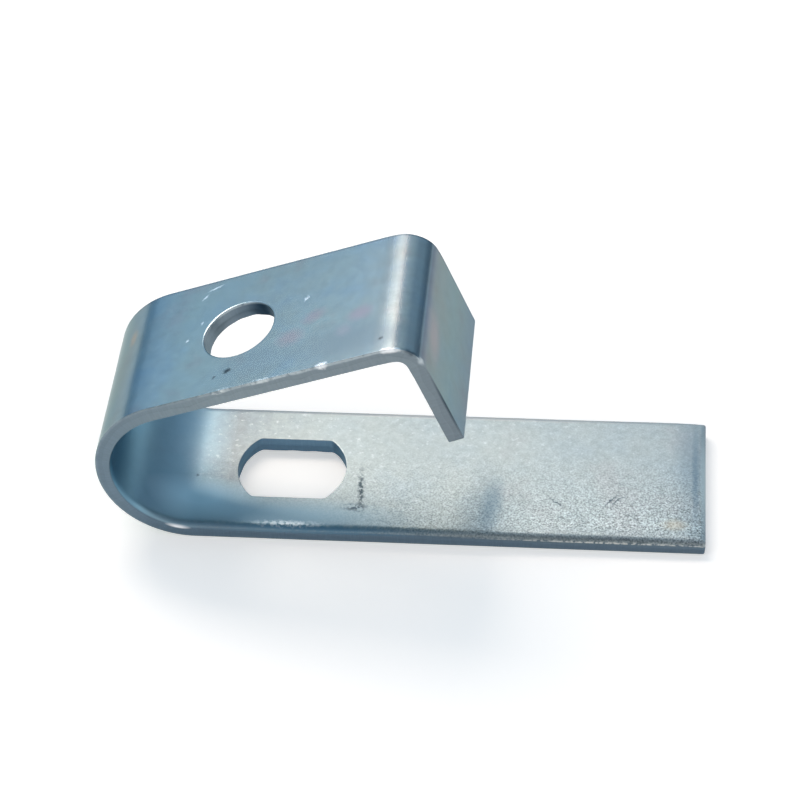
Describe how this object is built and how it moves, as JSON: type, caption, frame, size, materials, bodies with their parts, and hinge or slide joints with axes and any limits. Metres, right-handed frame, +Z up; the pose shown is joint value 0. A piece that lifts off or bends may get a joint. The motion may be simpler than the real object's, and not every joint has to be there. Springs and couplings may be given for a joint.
{
  "type": "girder conduit clamp",
  "caption": "Bent zinc plated strip: its round seat holds a conduit, its turned down lip grips a girder flange, and a bolt through the hole and slot draws the legs together.",
  "frame": {"origin": "on the underside of the long leg, in the middle of the clamp's length and width", "axes": "+X along the long leg from the conduit seat to its free end, +Y across the strip, +Z up to the upper leg"},
  "size_m": [0.0884, 0.025, 0.0389],
  "materials": {
    "zinc_plated_steel": "bright zinc plating with a blue passivate, slightly mottled"
  },
  "bodies": {
    "root": {"clamp_strip": "zinc_plated_steel"}
  },
  "joints": []
}
